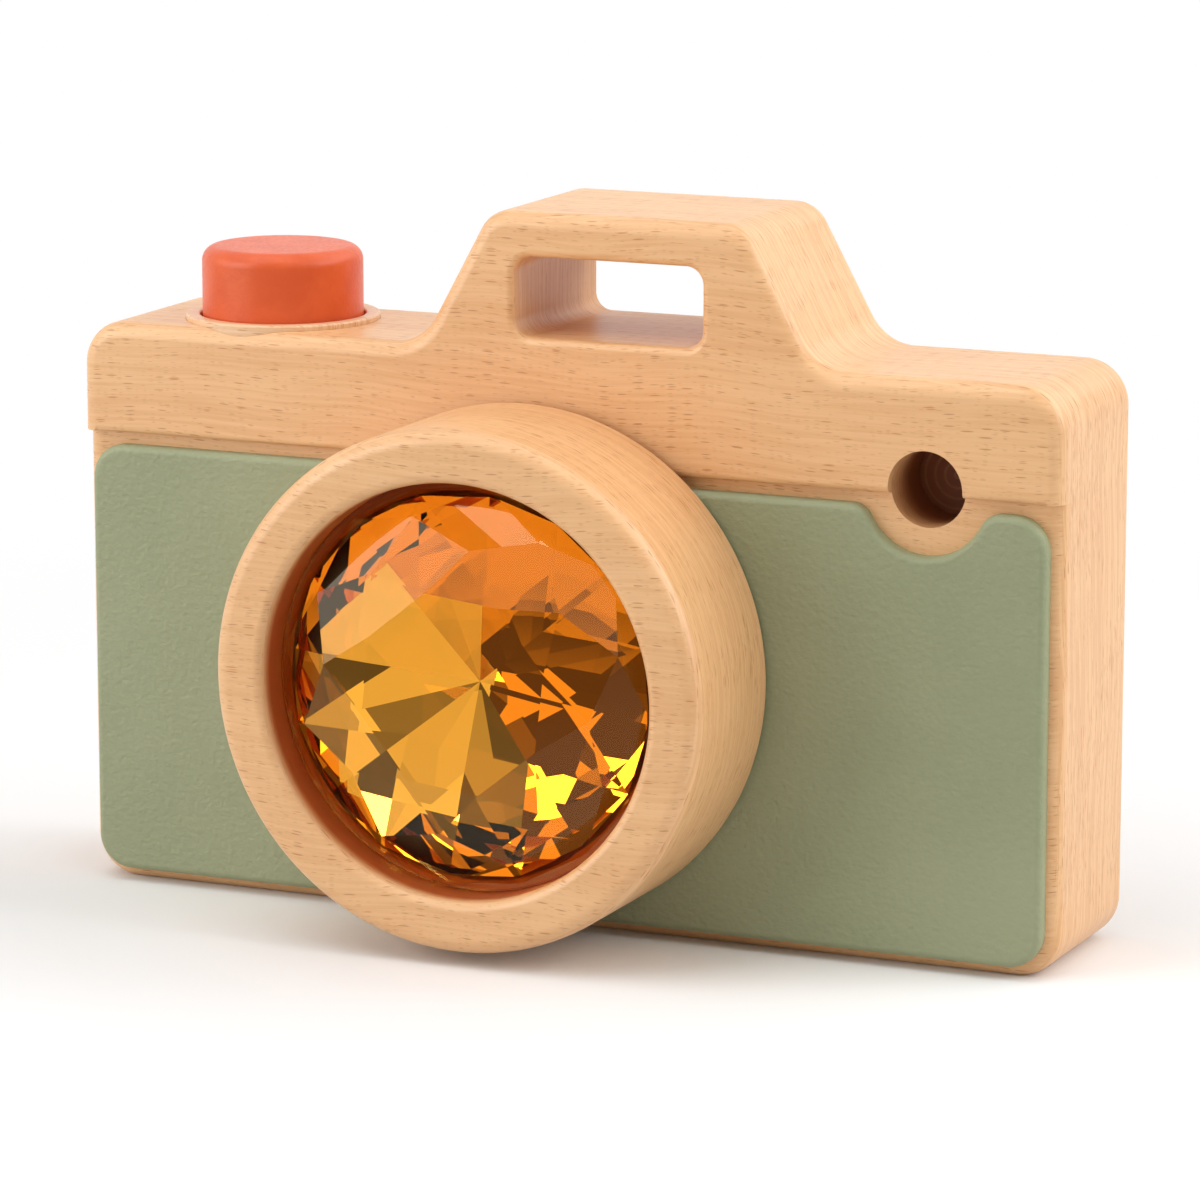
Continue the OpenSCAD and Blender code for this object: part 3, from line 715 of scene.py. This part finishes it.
def eyepiece_ring():
    """Ring with a seat for the pane, a rounded eyehole and countersunk screw holes."""
    pane_seat = SPIGOT_END + PANE_T + FIT_GAP
    profile = [
        (EYEHOLE_R, pane_seat), (PANE_BORE_R, pane_seat), (PANE_BORE_R, SPIGOT_END), (EYEPIECE_R, SPIGOT_END),
    ]
    profile += arc((EYEPIECE_R - EYEPIECE_EDGE_R, EYEPIECE_BACK - EYEPIECE_EDGE_R), EYEPIECE_EDGE_R, 0, 90, 4)
    profile += arc((EYEHOLE_R + EYEHOLE_EDGE_R, EYEPIECE_BACK - EYEHOLE_EDGE_R), EYEHOLE_EDGE_R, 90, 180)
    pitch_r = (PANE_BORE_R + SPIGOT_R) / 2
    bore_r = SCREW_R + FIT_GAP
    start, head = SPIGOT_END - OVERRUN, EYEPIECE_BACK - (SCREW_HEAD_R - SCREW_R)
    end = EYEPIECE_BACK + OVERRUN
    sink = [(0, start), (bore_r, start), (bore_r, head), (bore_r + end - head, end), (0, end)]
    sinks = []
    for i in range(SCREWS):
        t = 2 * math.pi * (i + 0.5) / SCREWS
        at = (LENS[0] + pitch_r * math.cos(t), LENS[1] - pitch_r * math.sin(t))
        # A number of sides that keeps the hole's corners off the edges of the ring
        sinks.append(lathe("sink_cut", sink, "Y", at, 46))
    return soften(cut(lathe("eyepiece", profile, "Y", LENS), *sinks))


piece(eyepiece_ring(), "lens", "eyepiece_ring", PALE)


# Shutter button, collar and spring


def button_collar():
    top = SHOULDER + COLLAR_PROUD
    profile = [(CAP_BORE_R, COLLAR_SEAT), (COLLAR_R, COLLAR_SEAT)]
    profile += arc((COLLAR_R - COLLAR_EDGE_R, top - COLLAR_EDGE_R), COLLAR_EDGE_R, 0, 90, 5)
    profile += arc((CAP_BORE_R + COLLAR_EDGE_R, top - COLLAR_EDGE_R), COLLAR_EDGE_R, 90, 180, 5)
    return soften(lathe("collar", profile, "Z", (BUTTON_X, 0)))


def shutter_button():
    """Cap, neck, and a foot with the spring's pocket."""
    top = SHOULDER + BUTTON_RISE
    pocket_r = COIL_R + WIRE_R + RUN_GAP
    profile = [
        (0, SPRING_TOP), (pocket_r, SPRING_TOP), (pocket_r, FOOT_BOTTOM), (FOOT_R, FOOT_BOTTOM),
        (FOOT_R, FOOT_TOP), (NECK_R, FOOT_TOP), (NECK_R, CAP_BOTTOM), (BUTTON_R, CAP_BOTTOM),
    ]
    profile += arc((BUTTON_R - BUTTON_EDGE_R, top - BUTTON_EDGE_R), BUTTON_EDGE_R, 0, 90, 12)
    profile += [(0, top)]
    return soften(lathe("button", profile, "Z", (BUTTON_X, 0)))


def button_spring(per_turn=48, sides=12):
    """Wire wound from the floor of the bore to the ceiling of the button's pocket."""
    low = BORE_FLOOR + WIRE_R + FIT_GAP
    rise = SPRING_L - 2 * (WIRE_R + FIT_GAP)
    last = COIL_TURNS * per_turn
    points, faces = [], []
    for j in range(last + 1):
        t = 2 * math.pi * j / per_turn
        out = Vector((math.cos(t), math.sin(t), 0))
        climb = rise / (2 * math.pi * COIL_TURNS)
        along = Vector((-COIL_R * math.sin(t), COIL_R * math.cos(t), climb)).normalized()
        up = out.cross(along)
        centre = Vector((BUTTON_X, 0, low + rise * j / last)) + COIL_R * out
        for k in range(sides):
            b = 2 * math.pi * k / sides
            points.append(centre + WIRE_R * (math.cos(b) * out + math.sin(b) * up))
    for j in range(last):
        for k in range(sides):
            m = (k + 1) % sides
            faces.append((j * sides + k, j * sides + m, (j + 1) * sides + m, (j + 1) * sides + k))
    faces.append(tuple(range(sides)))
    faces.append(tuple(last * sides + k for k in range(sides)))
    return soften(new_object("spring", points, faces))


piece(button_collar(), "camera_body", "button_collar", PALE)
piece(shutter_button(), "button", "shutter_button", coral_paint("coral_paint"))
spring = piece(button_spring(), "camera_body", "button_spring", STEEL)
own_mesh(spring)


# Pieces that keep their CAD mesh

for node, material, slot in (
    ("bearing_washer", nylon("nylon"), "nylon"),
    ("eyepiece_pane", clear("clear_acrylic"), "clear_acrylic"),
    ("eyepiece_screws", STEEL, "steel"),
    ("button_pins", PALE, "pale_beech"),
):
    obj = frame["nodes"][node]
    obj.data.materials.clear()
    obj.data.materials.append(material)


# Floor, light and camera


def shown_rays(tree):
    """1 for rays that show the background: seen directly, mirrored or through something clear."""
    path = tree.nodes.new("ShaderNodeLightPath")
    total = path.outputs["Is Camera Ray"]
    for name in ("Is Glossy Ray", "Is Transmission Ray"):
        most = tree.nodes.new("ShaderNodeMath")
        most.operation = "MAXIMUM"
        tree.links.new(total, most.inputs[0])
        tree.links.new(path.outputs[name], most.inputs[1])
        total = most.outputs[0]
    return total


def floor(size=6.0):
    """White floor that keeps the shadow near the object and turns into the white background further out."""
    s = Shader("floor")
    shown = shown_rays(s.tree)
    seen = s.node("LightPath").outputs["Is Camera Ray"]
    place = s.place((1, 1, 0))
    # Mirrored rays see the floor fall off towards the camera's side
    depth = s.node("SeparateXYZ", {0: place}).outputs["Y"]
    level = s.math("MAXIMUM", seen, s.ramp(depth, -190.0, -30.0, 0.14, 1.0))
    level = s.between(shown, 0.75, level)
    grey = s.math("MULTIPLY", level, 0.95)
    near = s.node("BsdfDiffuse", {"Color": s.node("CombineColor", {i: grey for i in range(3)}).outputs[0]})
    far = s.node("Emission", {"Color": (1, 1, 1, 1), "Strength": level})
    fade = s.ramp(s.length(place), 85.0, 270.0)
    mix = s.node("MixShader", {0: fade, 1: near.outputs[0], 2: far.outputs[0]})
    s.tree.links.new(mix.outputs[0], s.out.inputs["Surface"])
    mesh = bpy.data.meshes.new("floor")
    corners = [(-size, -size, 0), (size, -size, 0), (size, size, 0), (-size, size, 0)]
    mesh.from_pydata(corners, [], [(0, 1, 2, 3)])
    mesh.materials.append(s.material)
    obj = bpy.data.objects.new("floor", mesh)
    bpy.context.scene.collection.objects.link(obj)


def world():
    """White behind everything; on the camera's side mirrored rays see a darker room with patches of light."""
    w = bpy.data.worlds.new("studio")
    bpy.context.scene.world = w
    w.use_nodes = True
    tree = w.node_tree
    tree.nodes.clear()

    def node(kind, inputs=(), **settings):
        n = tree.nodes.new("ShaderNode" + kind)
        for key, value in settings.items():
            setattr(n, key, value)
        for key, value in dict(inputs).items():
            if isinstance(value, bpy.types.NodeSocket):
                tree.links.new(value, n.inputs[key])
            else:
                n.inputs[key].default_value = value
        return n.outputs

    def ramp(value, low, high, out_low=0.0, out_high=1.0):
        values = enumerate((value, low, high, out_low, out_high))
        return node("MapRange", values, interpolation_type="SMOOTHSTEP")[0]

    def between(share, a, b):
        return node("Mix", {0: share, 2: a, 3: b}, data_type="FLOAT")[0]

    way = node("TexCoord")["Generated"]
    behind = ramp(node("SeparateXYZ", {0: way})["Y"], -0.45, -0.05)
    cell = node("TexVoronoi", {"Vector": way, "Scale": 5.0})["Color"]
    red, _, blue = node("SeparateColor", {0: cell})
    patch = ramp(red, 0.3, 0.8, 0.15, 1.2)
    path = node("LightPath")
    # A few patches are as bright as lamps, most of all for rays that leave the lens
    glint = node("MapRange", {0: blue, 1: 0.9, 2: 0.94})[0]
    power = between(path["Is Transmission Ray"], 4.0, 10.0)
    patch = node("Math", {0: glint, 1: power, 2: patch}, operation="MULTIPLY_ADD")[0]
    level = between(path["Is Camera Ray"], between(behind, patch, 1.0), 1.0)
    level = between(shown_rays(tree), 0.25, level)
    back = node("Background", {"Color": (1, 1, 1, 1), "Strength": level})[0]
    node("OutputWorld", {"Surface": back})


def way_to(azimuth, elevation):
    """Direction from the object, in degrees: azimuth 0 is straight in front, 90 is to its right."""
    a, e = math.radians(azimuth), math.radians(elevation)
    return Vector((math.sin(a) * math.cos(e), -math.cos(a) * math.cos(e), math.sin(e)))


def facing(name, data, target, way, distance):
    """Lamp or camera that looks at the target from a direction."""
    obj = bpy.data.objects.new(name, data)
    obj.location = target + way * distance
    obj.rotation_mode = "QUATERNION"
    obj.rotation_quaternion = (-way).to_track_quat("-Z", "Y")
    bpy.context.scene.collection.objects.link(obj)
    return obj


def lamp(name, azimuth, elevation, distance, size, power):
    """Soft square lamp that faces the middle of the object and isn't seen inside the lens."""
    light = bpy.data.lights.new(name, "AREA")
    light.shape, light.size, light.energy = "SQUARE", size, power
    obj = facing(name, light, Vector((0, 0, 40)) * MM, way_to(azimuth, elevation), distance)
    obj.visible_transmission = False


def camera():
    data = bpy.data.cameras.new("camera")
    data.lens, data.sensor_width = 172.62, 36.0
    data.clip_start, data.clip_end = 0.05, 30
    target = Vector((0.508, 0, 38.94)) * MM
    bpy.context.scene.camera = facing("camera", data, target, way_to(24, 11.551), 0.7115)


floor()
world()
lamp("left", -47, 16, 0.8, 0.6, 3.4)
lamp("fill", 60, 50, 0.9, 0.6, 0.9)
lamp("right", 96, 25, 0.9, 0.6, 4.0)
lamp("top", -40, 70, 0.8, 0.7, 2.8)
lamp("back", 138, 45, 0.9, 0.7, 2.5)
camera()
bpy.context.scene.view_settings.view_transform = "Standard"
